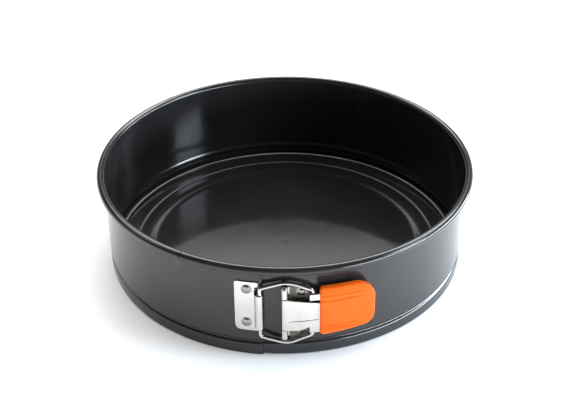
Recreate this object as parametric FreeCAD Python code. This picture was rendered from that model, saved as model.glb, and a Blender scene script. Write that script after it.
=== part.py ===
import FreeCAD, Part
import math
import os

# Springform pan: a two-ended steel band that clamps round a loose base disc, with a
# toggle latch at the front. Millimetres, +Z up, origin on the pan's axis in the plane
# that the pan stands on. The latch is at the front, towards -Y.

# Band
INNER_R = 120.0            # cake space radius, a 24 cm pan
SHEET = 0.8                # steel thickness of band and base
OUTER_R = INNER_R + SHEET
CURL_R = 2.8               # outside radius of the rolled rim
CURL_Z = 64.3              # height of the rolled rim's centre
CURL_END_DEG = -130.0      # where the rolled edge stops, just short of the wall
GROOVE_Z = 9.4             # centre of the pressed groove that holds the base down
GROOVE_HALF = 3.4
GROOVE_DEPTH = 1.3
LIP_R = 117.0              # turned-in bottom edge under the base
BACK_GAP_DEG = 0.1         # saw-cut between the band's two rigid halves, at the back
SEAM_DEG = 240.5           # where the two rolled rims meet, left of the latch
SEAM_GAP_DEG = 0.15
JOGGLE_DEG = (236.0, 239.8)  # where the left end steps out over the right end
TONGUE_STEP = 1.1          # how far the overlapping end stands outside the other
TONGUE_END_DEG = 264.1
TONGUE_TOP = 61.2

# Base disc
BASE_FLANGE_R = 104.0
BASE_FLOOR_R = 91.0
BASE_BEAD_R = 116.8
BASE_BEAD = 1.2            # radius of the rolled rim of the base
BASE_BEAD_Z = 2.3
BASE_FLANGE_TOP = 3.0

# Latch: vertical pivot axes, as (x, distance from the pan's axis)
PIN_X, PIN_RAD = 0.8, 124.4        # lever on the hinge plate
LUG_X, LUG_RAD = 17.7, 124.2       # wire loop in the lever
CATCH_X, CATCH_RAD = -13.8, 124.3  # wire loop in the catch
PLATE = 1.0                # thickness of the latch's steel plates
KNUCKLE_R = 2.1
PIN_R = 1.2
PIN_BORE_R = 1.25
HINGE_BORE_R = 1.22
WIRE_R = 1.2
LUG_BORE_R = 1.25

# Catch plate, and the seat of the wire in it
CATCH_LEFT, CATCH_RIGHT = -29.1, -14.8
CATCH_BOTTOM, CATCH_TOP = 19.0, 55.2
CATCH_CORNERS = (3.5, 0.6, 0.8, 1.8)   # from the lower left, counter-clockwise
HOOK_R = 1.6               # half-round seat of the wire
HOOK_LIP_RAD = 123.9       # the seat's lips stop just short of the wire's middle
HOOK_LEFT, HOOK_RIGHT = -17.1, -11.6
HOOK_BOTTOM, HOOK_TOP = 22.5, 47.2
HOOK_CORNERS = (0.8, 0.8, 0.8, 0.8)
NOTCH_X, NOTCH_Z, NOTCH_R = -15.3, 49.1, 2.1   # relief above the seat
CATCH_RIVET_X = -22.0
CATCH_RIVET_Z = {"lower": 25.6, "upper": 49.8}

# Hinge plate, its pin and the rivets
HINGE_LEFT, HINGE_RIGHT = -0.9, 16.1
HINGE_BOTTOM, HINGE_TOP = 13.5, 52.7
HINGE_CORNERS = (0.8, 3.0, 3.0, 0.8)
HINGE_KNUCKLES = ((15.9, 22.6), (45.8, 52.7))
HINGE_RIVET_X = 11.2
HINGE_RIVET_Z = {"lower": 20.6, "upper": 48.8}
RIVET_HEAD_R, RIVET_SHANK_R, RIVET_HEAD = 3.2, 1.5, 1.2
RIVET_BRIM = 0.2           # height of the edge of a rivet's domed head
PIN_HEAD_R, PIN_HEAD = 2.1, 1.4
PIN_TAIL_R, PIN_TAIL = 1.6, 0.7

# Lever, as (x, height) on its curved plate
LEVER_RAD = 125.5          # inner face of the lever's plate
LEVER_KNUCKLE = (22.9, 45.5)
LEVER_LEFT = 15.7          # left edge of the two lugs
LEVER_BOTTOM, LEVER_TOP = 20.6, 49.3
LEVER_END, LEVER_CORNER = 50.5, 6.0
TONGUE_TOP_EDGE = ((3.8, 45.0), (10.3, 44.1), (22.0, 42.0))
TONGUE_LOWER_EDGE = ((15.7, 25.1), (13.0, 23.6), (9.7, 22.4))
SLOT_TOP, SLOT_RIGHT = 44.6, 25.0      # gap between the tongue and the upper lug
LUG_RAD_INNER = 122.2      # the lever's turned-back lugs reach in to here
LUG_RIGHT = 24.0
STRAP = 2.0                # overlap of the plate with its knuckle

# Soft sleeve on the lever
GRIP_LEFT, GRIP_RIGHT = 21.7, 55.3
GRIP_BOTTOM, GRIP_TOP = 18.8, 53.8
GRIP_RAD = (123.2, 128.6)
GRIP_CORNERS = (2.5, 5.0, 11.0, 2.5)
GRIP_EDGE = 1.6

# Wire loop: heights of its corners, left (catch), middle and right (lever)
LOOP_LEFT = (16.6, 52.3)
LOOP_APEX = (10.9, 57.1)
LOOP_APEX_SHARE = 0.52     # how far the peaks lie from the catch towards the lug
LOOP_RIGHT = (17.8, 51.0)
LOOP_ENDS = (22.6, 44.6)   # the wire's ends, inside the lever's lugs
LOOP_BEND = 2.4
LOOP_APEX_BEND = (12.0, 18.0)

TOOL = 400.0               # larger than the whole pan, for cutting and trimming


def point(x, z):
    return FreeCAD.Vector(x, 0, z)


def axis_at(x, radius):
    """Plan position of a vertical axis at the front, from its x and its radius."""
    return FreeCAD.Vector(x, -math.sqrt(radius ** 2 - x ** 2), 0)


PIN = axis_at(PIN_X, PIN_RAD)
LUG = axis_at(LUG_X, LUG_RAD)
CATCH = axis_at(CATCH_X, CATCH_RAD)


def line(a, b):
    return Part.makeLine(a, b)


def arc(a, middle, b):
    return Part.Arc(a, middle, b).toShape()


def revolve(wire, start_deg, end_deg):
    """Turn a closed profile in the XZ plane about Z, between two angles from +X."""
    face = Part.Face(wire)
    face.rotate(FreeCAD.Vector(), FreeCAD.Vector(0, 0, 1), start_deg)
    return face.revolve(FreeCAD.Vector(), FreeCAD.Vector(0, 0, 1), end_deg - start_deg)


def tube(radius, centre, z0, z1):
    return Part.makeCylinder(radius, z1 - z0, FreeCAD.Vector(centre.x, centre.y, z0))


def shell(inner, outer, z0, z1):
    """A full ring between two radii, to be trimmed to a plate's outline."""
    return Part.makeCylinder(outer, z1 - z0, FreeCAD.Vector(0, 0, z0)).cut(
        Part.makeCylinder(inner, z1 - z0, FreeCAD.Vector(0, 0, z0)))


def front_prism(corners, radii):
    """Extrude an outline of (x, z) corners, each with its own rounding, back from the front."""
    edges = []
    count = len(corners)
    spots = [point(x, z) for x, z in corners]
    starts = []
    ends = []
    for i in range(count):
        before, here, after = spots[i - 1], spots[i], spots[(i + 1) % count]
        to_before = (before - here).normalize()
        to_after = (after - here).normalize()
        if radii[i] == 0:
            starts.append(here)
            ends.append(here)
            continue
        half = to_before.getAngle(to_after) / 2
        back = radii[i] / math.tan(half)
        centre = here + (to_before + to_after).normalize() * (radii[i] / math.sin(half))
        inward = (here - centre).normalize()
        starts.append(here + to_before * back)
        ends.append(here + to_after * back)
        edges.append(arc(starts[i], centre + inward * radii[i], ends[i]))
    for i in range(count):
        edges.append(line(ends[i], starts[(i + 1) % count]))
    face = Part.Face(Part.Wire(Part.__sortEdges__(edges)))
    return face.extrude(FreeCAD.Vector(0, -TOOL / 2, 0))


def rectangle(x0, x1, z0, z1):
    return [(x0, z0), (x1, z0), (x1, z1), (x0, z1)]


def groove_edges(radius, upward):
    """The groove's curve on the wall face of the given radius."""
    low = point(radius, GROOVE_Z - GROOVE_HALF)
    middle = point(radius - GROOVE_DEPTH, GROOVE_Z)
    high = point(radius, GROOVE_Z + GROOVE_HALF)
    return arc(low, middle, high) if upward else arc(high, middle, low)


def wall_wire(step, top):
    """Plain wall with the pressed groove, standing out by step."""
    outer, inner = OUTER_R + step, INNER_R + step
    low, high = GROOVE_Z - GROOVE_HALF, GROOVE_Z + GROOVE_HALF
    return Part.Wire([
        line(point(outer, 0), point(outer, low)),
        groove_edges(outer, True),
        line(point(outer, high), point(outer, top)),
        line(point(outer, top), point(inner, top)),
        line(point(inner, top), point(inner, high)),
        groove_edges(inner, False),
        line(point(inner, low), point(inner, 0)),
        line(point(inner, 0), point(outer, 0))])


def curl_point(radius, degrees):
    turn = math.radians(degrees)
    centre_r = INNER_R + CURL_R
    return point(centre_r + radius * math.cos(turn), CURL_Z + radius * math.sin(turn))


def curl_wire():
    """The rolled rim: a C of sheet that starts where the wall meets it."""
    hollow = CURL_R - SHEET
    middle_deg = (180 + CURL_END_DEG) / 2
    return Part.Wire([
        arc(curl_point(hollow, 180), curl_point(hollow, middle_deg), curl_point(hollow, CURL_END_DEG)),
        line(curl_point(hollow, CURL_END_DEG), curl_point(CURL_R, CURL_END_DEG)),
        arc(curl_point(CURL_R, CURL_END_DEG), curl_point(CURL_R, middle_deg), curl_point(CURL_R, 180)),
        line(curl_point(CURL_R, 180), curl_point(hollow, 180))])


def lip_wire():
    corners = [point(r, z) for r, z in rectangle(LIP_R, INNER_R, 0, SHEET)]
    return Part.makePolygon(corners + corners[:1])


def band_length(start_deg, end_deg):
    """Wall, rolled rim and bottom lip over one stretch of the band."""
    wall = revolve(wall_wire(0, CURL_Z), start_deg, end_deg)
    rim = revolve(curl_wire(), start_deg, end_deg)
    lip = revolve(lip_wire(), start_deg, end_deg)
    return wall.fuse([rim, lip])


def joggle():
    """The short sloping step from the plain wall to the overlapping tongue."""
    ends = []
    for degrees, step in zip(JOGGLE_DEG, (0, TONGUE_STEP)):
        wire = wall_wire(step, TONGUE_TOP)
        wire.rotate(FreeCAD.Vector(), FreeCAD.Vector(0, 0, 1), degrees)
        ends.append(wire)
    return Part.makeLoft(ends, True, True)


def rivet_holes(x, heights):
    """Shanks of a column of rivets, square to the band, through everything at the front."""
    holes = []
    for z in heights.values():
        holes.append(along_radius(x, z, RIVET_SHANK_R, 0, TOOL / 2))
    return holes


def along_radius(x, z, radius, near, far):
    """A cylinder whose axis runs out from the pan's axis, through x at the band's face."""
    outward = axis_at(x, OUTER_R).normalize()
    start = outward * near + FreeCAD.Vector(0, 0, z)
    return Part.makeCylinder(radius, far - near, start, outward)


def band_right():
    band = band_length(SEAM_DEG, 450.0 - BACK_GAP_DEG)
    return band.cut(rivet_holes(HINGE_RIVET_X, HINGE_RIVET_Z)).removeSplitter()


def band_left():
    plain = band_length(90.0 + BACK_GAP_DEG, JOGGLE_DEG[0])
    rim_end = revolve(curl_wire(), JOGGLE_DEG[0], SEAM_DEG - SEAM_GAP_DEG)
    tongue = revolve(wall_wire(TONGUE_STEP, TONGUE_TOP), JOGGLE_DEG[1], TONGUE_END_DEG)
    band = plain.fuse([rim_end, joggle(), tongue])
    return band.cut(rivet_holes(CATCH_RIVET_X, CATCH_RIVET_Z)).removeSplitter()


def base_disc():
    """Loose bottom: a flat floor, a gentle slope up to a flange, and a rolled rim."""
    under = BASE_FLANGE_TOP - SHEET
    slope_top = point((BASE_FLANGE_R + BASE_FLOOR_R) / 2, BASE_FLANGE_TOP / 2 + SHEET / 2)
    slope_under = slope_top - point(0, SHEET)
    wire = Part.Wire([
        line(point(0, 0), point(BASE_FLOOR_R, 0)),
        line(point(BASE_FLOOR_R, 0), slope_under),
        line(slope_under, point(BASE_FLANGE_R, under)),
        line(point(BASE_FLANGE_R, under), point(BASE_BEAD_R, under)),
        line(point(BASE_BEAD_R, under), point(BASE_BEAD_R, BASE_FLANGE_TOP)),
        line(point(BASE_BEAD_R, BASE_FLANGE_TOP), point(BASE_FLANGE_R, BASE_FLANGE_TOP)),
        line(point(BASE_FLANGE_R, BASE_FLANGE_TOP), slope_top),
        line(slope_top, point(BASE_FLOOR_R, SHEET)),
        line(point(BASE_FLOOR_R, SHEET), point(0, SHEET)),
        line(point(0, SHEET), point(0, 0))])
    disc = revolve(wire, 0, 360)
    bead = Part.makeTorus(BASE_BEAD_R, BASE_BEAD, FreeCAD.Vector(0, 0, BASE_BEAD_Z))
    return disc.fuse(bead).removeSplitter()


def domed_rivet(x, z, tail, face):
    """A round-headed rivet, turned about its own axis and then set square to the band."""
    top = face + RIVET_HEAD
    brim = face + RIVET_BRIM
    rise = RIVET_HEAD - RIVET_BRIM
    dome_r = (RIVET_HEAD_R ** 2 + rise ** 2) / (2 * rise)
    lean = math.asin(RIVET_HEAD_R / dome_r) / 2
    shoulder = point(dome_r * math.sin(lean), top - dome_r + dome_r * math.cos(lean))
    wire = Part.Wire([
        line(point(0, tail), point(RIVET_SHANK_R, tail)),
        line(point(RIVET_SHANK_R, tail), point(RIVET_SHANK_R, face)),
        line(point(RIVET_SHANK_R, face), point(RIVET_HEAD_R, face)),
        line(point(RIVET_HEAD_R, face), point(RIVET_HEAD_R, brim)),
        arc(point(RIVET_HEAD_R, brim), shoulder, point(0, top)),
        line(point(0, top), point(0, tail))])
    rivet = revolve(wire, 0, 360)
    turn = FreeCAD.Rotation(FreeCAD.Vector(0, 0, 1), axis_at(x, OUTER_R))
    rivet.Placement = FreeCAD.Placement(FreeCAD.Vector(0, 0, z), turn)
    return rivet


def catch_plate():
    """Plate on the band's outer end, with a half-round seat that the wire is pulled into."""
    inner = OUTER_R + TONGUE_STEP
    outline = front_prism(
        rectangle(CATCH_LEFT, CATCH_RIGHT, CATCH_BOTTOM, CATCH_TOP), CATCH_CORNERS)
    plate = shell(inner, inner + PLATE, CATCH_BOTTOM, CATCH_TOP).common(outline)
    seat_outline = front_prism(
        rectangle(HOOK_LEFT, HOOK_RIGHT, HOOK_BOTTOM, HOOK_TOP), HOOK_CORNERS)
    seat = shell(inner, HOOK_LIP_RAD, HOOK_BOTTOM, HOOK_TOP).common(seat_outline)
    groove = tube(HOOK_R, CATCH, HOOK_BOTTOM, HOOK_TOP)
    mouth = Part.makeBox(2 * HOOK_R, TOOL, TOOL, CATCH - FreeCAD.Vector(HOOK_R, TOOL, 0))
    notch = Part.makeCylinder(
        NOTCH_R, TOOL, FreeCAD.Vector(NOTCH_X, 0, NOTCH_Z), FreeCAD.Vector(0, -1, 0))
    plate = plate.cut(notch).fuse(seat).cut([groove, mouth])
    return plate.cut(rivet_holes(CATCH_RIVET_X, CATCH_RIVET_Z)).removeSplitter()


def hinge_plate():
    """Plate on the band's inner end, with two knuckles for the lever's pin."""
    outline = front_prism(
        rectangle(HINGE_LEFT, HINGE_RIGHT, HINGE_BOTTOM, HINGE_TOP), HINGE_CORNERS)
    plate = shell(OUTER_R, OUTER_R + PLATE, HINGE_BOTTOM, HINGE_TOP).common(outline)
    knuckles = []
    for z0, z1 in HINGE_KNUCKLES:
        root_y = -(OUTER_R + PLATE / 2)
        strap = Part.makeBox(KNUCKLE_R, root_y - PIN.y, z1 - z0, FreeCAD.Vector(PIN.x, PIN.y, z0))
        knuckles += [tube(KNUCKLE_R, PIN, z0, z1), strap]
    bore = tube(HINGE_BORE_R, PIN, 0, TOOL)
    plate = plate.fuse(knuckles).cut(bore)
    return plate.cut(rivet_holes(HINGE_RIVET_X, HINGE_RIVET_Z)).removeSplitter()


def hinge_pin():
    bottom, top = HINGE_KNUCKLES[0][0], HINGE_KNUCKLES[1][1]
    shank = tube(PIN_R, PIN, bottom, top)
    tail = tube(PIN_TAIL_R, PIN, bottom - PIN_TAIL, bottom)
    cap_r = (PIN_HEAD_R ** 2 + PIN_HEAD ** 2) / (2 * PIN_HEAD)
    ball = Part.makeSphere(cap_r, FreeCAD.Vector(PIN.x, PIN.y, top + PIN_HEAD - cap_r))
    head = ball.common(tube(PIN_HEAD_R, PIN, top, top + PIN_HEAD))
    return shank.fuse([tail, head]).removeSplitter()


def lever():
    """Curved plate with a knuckle at one end and two turned-back lugs for the wire."""
    low, high = LEVER_KNUCKLE
    tongue_top = TONGUE_TOP_EDGE[-1][1]
    corners = [(PIN_X, low), (PIN_X, high)] + list(TONGUE_TOP_EDGE)
    corners += [(LEVER_END, tongue_top), (LEVER_END, LEVER_BOTTOM), (LEVER_LEFT, LEVER_BOTTOM)]
    corners += list(TONGUE_LOWER_EDGE)
    tongue = front_prism(corners, [0] * len(corners))
    grip_end = front_prism(
        rectangle(SLOT_RIGHT, LEVER_END, LEVER_BOTTOM, LEVER_TOP), (0, LEVER_CORNER, LEVER_CORNER, 0))
    upper_ear = front_prism(
        rectangle(LEVER_LEFT, SLOT_RIGHT + PLATE, SLOT_TOP, LEVER_TOP), (0, 0, 0, 0))
    ring = shell(LEVER_RAD, LEVER_RAD + PLATE, LEVER_BOTTOM, LEVER_TOP)
    blunt_end = front_prism(
        rectangle(0, LEVER_END, LEVER_BOTTOM, LEVER_TOP), (0, LEVER_CORNER, LEVER_CORNER, 0))
    pieces = [ring.common(tongue).common(blunt_end), ring.common(grip_end), ring.common(upper_ear)]
    for z0 in (LEVER_BOTTOM, LEVER_TOP - PLATE):
        lug = front_prism(rectangle(LEVER_LEFT, LUG_RIGHT, z0, z0 + PLATE), (0, 0, 0, 0))
        pieces.append(shell(LUG_RAD_INNER, LEVER_RAD + PLATE, z0, z0 + PLATE).common(lug))
    knuckle = tube(KNUCKLE_R, PIN, low, high)
    strap_y = -(PIN_RAD + KNUCKLE_R)
    strap = Part.makeBox(STRAP, PLATE, high - low, FreeCAD.Vector(PIN.x, strap_y, low))
    body = knuckle.fuse(pieces + [strap])
    return body.cut([tube(PIN_BORE_R, PIN, 0, TOOL), tube(LUG_BORE_R, LUG, 0, TOOL)]).removeSplitter()


def lever_grip(steel):
    """Soft sleeve moulded over the lever's end."""
    outline = front_prism(
        rectangle(GRIP_LEFT, GRIP_RIGHT, GRIP_BOTTOM, GRIP_TOP), GRIP_CORNERS)
    sleeve = shell(GRIP_RAD[0], GRIP_RAD[1], GRIP_BOTTOM, GRIP_TOP).common(outline)
    sleeve = sleeve.makeFillet(GRIP_EDGE, sleeve.Edges)
    return sleeve.cut(steel)


def wire_loop():
    """Bent wire: a leg in the catch, two bowed runs that peak above and below, and two
    ends that turn into the lever's lugs. It lies in the plane of its two pivot axes."""
    middle_spot = CATCH + (LUG - CATCH) * LOOP_APEX_SHARE
    bends = [
        (LUG, LOOP_RIGHT[1], LOOP_BEND), (middle_spot, LOOP_APEX[1], LOOP_APEX_BEND[1]),
        (CATCH, LOOP_LEFT[1], LOOP_BEND), (CATCH, LOOP_LEFT[0], LOOP_BEND),
        (middle_spot, LOOP_APEX[0], LOOP_APEX_BEND[0]), (LUG, LOOP_RIGHT[0], LOOP_BEND)]
    spots = [FreeCAD.Vector(plan.x, plan.y, z) for plan, z, bend in bends]
    first = FreeCAD.Vector(LUG.x, LUG.y, LOOP_ENDS[1])
    final = FreeCAD.Vector(LUG.x, LUG.y, LOOP_ENDS[0])
    stops = [first] + spots + [final]
    edges = []
    last = first
    for before, here, after, bend in zip(stops, spots, stops[2:], [b[2] for b in bends]):
        to_before = (before - here).normalize()
        to_after = (after - here).normalize()
        half = to_before.getAngle(to_after) / 2
        back = bend / math.tan(half)
        centre = here + (to_before + to_after).normalize() * (bend / math.sin(half))
        middle = centre + (here - centre).normalize() * bend
        edges.append(line(last, here + to_before * back))
        edges.append(arc(here + to_before * back, middle, here + to_after * back))
        last = here + to_after * back
    edges.append(line(last, final))
    section = Part.Wire(Part.makeCircle(WIRE_R, first, FreeCAD.Vector(0, 0, 1)))
    return Part.Wire(edges).makePipeShell([section], True, False)


def save(name, shape):
    shape.exportStep("parts/%s.step" % name)


os.makedirs("parts", exist_ok=True)
save("band_right", band_right())
save("band_left", band_left())
save("base_disc", base_disc())
save("hinge_plate", hinge_plate())
save("hinge_pin", hinge_pin())
save("catch_plate", catch_plate())
for level in ("upper", "lower"):
    save("hinge_rivet_" + level,
         domed_rivet(HINGE_RIVET_X, HINGE_RIVET_Z[level], INNER_R, OUTER_R + PLATE))
    save("catch_rivet_" + level,
         domed_rivet(CATCH_RIVET_X, CATCH_RIVET_Z[level], INNER_R + TONGUE_STEP,
                     OUTER_R + TONGUE_STEP + PLATE))
lever_steel = lever()
save("lever", lever_steel)
save("lever_grip", lever_grip(lever_steel))
save("wire_loop", wire_loop())
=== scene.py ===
import math

import bmesh
import bpy
import numpy as np
from mathutils import Matrix, Vector


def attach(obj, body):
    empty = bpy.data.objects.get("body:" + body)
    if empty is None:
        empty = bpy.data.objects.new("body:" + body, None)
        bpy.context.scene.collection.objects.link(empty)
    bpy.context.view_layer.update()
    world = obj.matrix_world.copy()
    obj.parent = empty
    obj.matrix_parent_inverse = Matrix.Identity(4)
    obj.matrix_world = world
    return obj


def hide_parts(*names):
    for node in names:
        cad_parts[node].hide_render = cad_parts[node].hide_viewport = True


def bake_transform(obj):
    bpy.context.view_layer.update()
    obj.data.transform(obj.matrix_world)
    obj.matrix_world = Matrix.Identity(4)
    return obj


# Springform pan. Shapes below are in millimetres in the CAD frame: +Z up, the latch at
# the front towards -Y, and angles from +X, counter-clockwise seen from above.
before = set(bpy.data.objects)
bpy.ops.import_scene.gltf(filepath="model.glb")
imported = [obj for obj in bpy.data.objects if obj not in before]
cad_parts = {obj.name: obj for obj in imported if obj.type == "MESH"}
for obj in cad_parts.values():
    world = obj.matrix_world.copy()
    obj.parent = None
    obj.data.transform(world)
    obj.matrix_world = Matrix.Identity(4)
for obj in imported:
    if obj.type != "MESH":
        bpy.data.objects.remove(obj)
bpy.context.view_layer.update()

MM = 0.001

# Band
SHEET_HALF = 0.38
WALL_R = 120.4                 # middle of the band's sheet
LIP_R, LIP_BEND = 117.4, 0.8
GROOVE_Z, GROOVE_HALF, GROOVE_DEPTH = 9.5, 2.8, 1.3
RIM_R, RIM_Z, RIM_BEND = 122.8, 64.3, 2.4
RIM_END_DEG = -130.0
SPLIT_Z = 61.2                 # where the left end divides into tongue and rim
TONGUE_STEP, TONGUE_TOP = 1.1, 60.8
SEAM_DEG, SEAM_GAP_DEG = 240.5, 0.15
SPREAD_DEG = (202.0, 236.0)    # where the left end eases outwards, except its rim
SPREAD_Z = (46.0, 61.2)
JOGGLE_DEG = (236.0, 239.8)
TONGUE_END_DEG = 264.1
FLEX_DEG = (76.0, 104.0)       # the stretch at the back that bends as the pan opens

# Base
FLOOR_R, FLANGE_R = 89.0, 104.0
FLANGE_Z = 2.55
DOME = 0.3                     # the floor rises slightly towards its middle
SHOULDER_R, SHOULDER = 102.5, 0.55   # a small step down inside the flange
BEAD_R, BEAD_Z, BEAD_BEND = 116.8, 2.3, 0.8

# Latch: vertical axes, as (x, distance from the pan's axis)
PIN_AXIS = (0.8, 124.4)
LUG_AXIS = (17.7, 124.2)
CATCH_AXIS = (-13.8, 124.3)
WIRE_R = 1.2


def front(x, radius):
    """Plan position at the front of the pan, from its x and its distance from the axis."""
    return np.array([x, -math.sqrt(radius ** 2 - x ** 2)])


class Skin:
    """Faces with a normal for each corner. Corners in the same place are one vertex."""

    def __init__(self):
        self.index = {}
        self.points = []
        self.faces = []
        self.normals = []

    def add(self, corners, normals):
        kept = {}
        for corner, normal in zip(corners, normals):
            kept.setdefault(tuple(round(float(v), 4) for v in corner), normal)
        if len(kept) < 3:
            return
        keys, facing = list(kept), list(kept.values())
        a, b, c = (np.array(keys[i]) for i in (0, 1, len(keys) - 1))
        if np.cross(b - a, c - a) @ sum(facing) < 0:
            keys.reverse()
            facing.reverse()
        for key in keys:
            if key not in self.index:
                self.index[key] = len(self.points)
                self.points.append(key)
        self.faces.append([self.index[key] for key in keys])
        self.normals.append(facing)

    def make(self, name):
        mesh = bpy.data.meshes.new(name)
        mesh.from_pydata([[v * MM for v in p] for p in self.points], [], self.faces)
        mesh.polygons.foreach_set("use_smooth", [True] * len(mesh.polygons))
        mesh.normals_split_custom_set([tuple(n) for face in self.normals for n in face])
        obj = bpy.data.objects.new(name, mesh)
        bpy.context.scene.collection.objects.link(obj)
        return obj


def bend(centre, radius, start, end, steps):
    """Points round an arc, from one angle to another in degrees."""
    turn = np.radians(np.linspace(start, end, steps + 1))
    return np.c_[centre[0] + radius * np.cos(turn), centre[1] + radius * np.sin(turn)]


def unit(v):
    return v / np.linalg.norm(v, axis=-1, keepdims=True)


CAP = np.radians([30, 60, 90, 120, 150])[:, None]   # round the rounded edge of a sheet


def thicken(path, half, start_bulge=1.0, end_bulge=1.0):
    """A closed outline round a path: right side, end, left side, start."""
    ahead = unit(np.gradient(path, axis=0))
    ahead[0], ahead[-1] = unit(path[1] - path[0]), unit(path[-1] - path[-2])
    right = np.c_[ahead[:, 1], -ahead[:, 0]]
    end = path[-1] + half * (right[-1] * np.cos(CAP) + ahead[-1] * np.sin(CAP) * end_bulge)
    start = path[0] - half * (right[0] * np.cos(CAP) + ahead[0] * np.sin(CAP) * start_bulge)
    return np.concatenate([path + half * right, end, (path - half * right)[::-1], start])


def turned(outline, degrees):
    """An (r, z) outline stood up at an angle round the pan's axis."""
    turn = math.radians(degrees)
    return np.c_[outline[:, 0] * math.cos(turn), outline[:, 0] * math.sin(turn), outline[:, 1]]


def sweep(skin, ring, angles, ends=(False, False)):
    """Skin the outlines that ring(angle) gives, with normals that match across pieces."""
    nudge = 0.01
    rings, normals = [], []
    for angle in angles:
        points = ring(angle)
        along = ring(angle + nudge) - ring(angle - nudge)
        turn = math.radians(angle)
        still = np.linalg.norm(along, axis=1) < 1e-9
        along[still] = (-math.sin(turn), math.cos(turn), 0)
        across = np.roll(points, -1, 0) - np.roll(points, 1, 0)
        rings.append(points)
        normals.append(unit(np.cross(along, across)))
    count = len(rings[0])
    for k in range(len(rings) - 1):
        near, far = rings[k], rings[k + 1]
        near_n, far_n = normals[k], normals[k + 1]
        for i in range(count):
            j = (i + 1) % count
            skin.add([near[i], far[i], far[j], near[j]], [near_n[i], far_n[i], far_n[j], near_n[j]])
    side = count // 2 - len(CAP)
    for wanted, at, sign in ((ends[0], 0, -1), (ends[1], -1, 1)):
        if not wanted:
            continue
        points, angle = rings[at], angles[at]
        turn = math.radians(angle)
        out = sign * np.array([-math.sin(turn), math.cos(turn), 0])
        right, left = points[:side], points[side + len(CAP):2 * side + len(CAP)][::-1]
        for i in range(side - 1):
            skin.add([right[i], right[i + 1], left[i + 1], left[i]], [out] * 4)
        tip = points[side - 1:side + len(CAP) + 1]
        skin.add(tip, [out] * len(tip))
        tail = np.concatenate([points[2 * side + len(CAP) - 1:], points[:1]])
        skin.add(tail, [out] * len(tail))


def groove(z):
    """How far the pressed groove reaches in at a height."""
    share = np.clip((z - GROOVE_Z) / GROOVE_HALF, -1, 1)
    return GROOVE_DEPTH * (0.5 + 0.5 * np.cos(math.pi * share))


def s_curve(share):
    """Ease in and out, for a share from 0 to 1."""
    return share * share * (3 - 2 * share)


def smooth(share):
    """The same for any number, held at 0 and 1 beyond them."""
    return s_curve(min(max(share, 0.0), 1.0))


# Band: one path for the sheet's middle, from the lip under the base to the rolled rim.
foot = np.concatenate([
    [[LIP_R, SHEET_HALF], [118.5, SHEET_HALF]],
    bend((WALL_R - LIP_BEND, SHEET_HALF + LIP_BEND), LIP_BEND, -90, 0, 6)])
heights = np.concatenate([
    [3.0, 5.0], np.linspace(GROOVE_Z - GROOVE_HALF, GROOVE_Z + GROOVE_HALF, 25),
    [15.0, 20.0, 30.0, 40.0, 50.0, 57.0, SPLIT_Z]])
wall = np.c_[WALL_R - groove(heights), heights]
rim = bend((RIM_R, RIM_Z), RIM_BEND, 180, RIM_END_DEG, 44)
lower_path = np.concatenate([foot, wall])
upper_path = np.concatenate([wall[-1:], [[WALL_R, 62.7]], rim])
whole_path = np.concatenate([lower_path, upper_path[1:]])
tongue_path = lower_path + (TONGUE_STEP, 0)
tongue_path[:len(foot), 0] = WALL_R + TONGUE_STEP
tongue_path[:len(foot), 1] = np.linspace(SHEET_HALF, SHEET_HALF + LIP_BEND, len(foot))
tongue_path[-1, 1] = TONGUE_TOP


def whole_ring(degrees):
    return turned(thicken(whole_path, SHEET_HALF), degrees)


def spread(path, degrees):
    """Ease a path outwards below the rim, more and more towards the tongue."""
    share = smooth((degrees - SPREAD_DEG[0]) / (SPREAD_DEG[1] - SPREAD_DEG[0]))
    rise = np.clip((path[:, 1] - SPREAD_Z[0]) / (SPREAD_Z[1] - SPREAD_Z[0]), 0, 1)
    return path + np.c_[TONGUE_STEP * share * (1 - s_curve(rise)), np.zeros(len(path))]


def spread_ring(degrees):
    return turned(thicken(spread(whole_path, degrees), SHEET_HALF), degrees)


def joggle_share(degrees):
    return smooth((degrees - JOGGLE_DEG[0]) / (JOGGLE_DEG[1] - JOGGLE_DEG[0]))


def tongue_ring(degrees):
    share = joggle_share(degrees)
    path = spread(lower_path, degrees) * (1 - share) + tongue_path * share
    return turned(thicken(path, SHEET_HALF, end_bulge=share), degrees)


def stub_ring(degrees):
    return turned(thicken(upper_path, SHEET_HALF, start_bulge=joggle_share(degrees)), degrees)


def degree_steps(start, end):
    return np.linspace(start, end, max(2, round(abs(end - start)) + 1))


right = Skin()
sweep(right, whole_ring, degree_steps(SEAM_DEG, 360 + FLEX_DEG[0]), (True, True))
band_right = right.make("band_right_strip")
back = Skin()
sweep(back, whole_ring, degree_steps(*FLEX_DEG), (True, True))
band_back = back.make("band_back_strip")
left = Skin()
sweep(left, spread_ring, degree_steps(FLEX_DEG[1], JOGGLE_DEG[0]), (True, False))
sweep(left, tongue_ring, np.linspace(*JOGGLE_DEG, 13))
sweep(left, tongue_ring, degree_steps(JOGGLE_DEG[1], TONGUE_END_DEG), (False, True))
sweep(left, stub_ring, np.linspace(JOGGLE_DEG[0], SEAM_DEG - SEAM_GAP_DEG, 13), (False, True))
band_left = left.make("band_left_strip")

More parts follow.
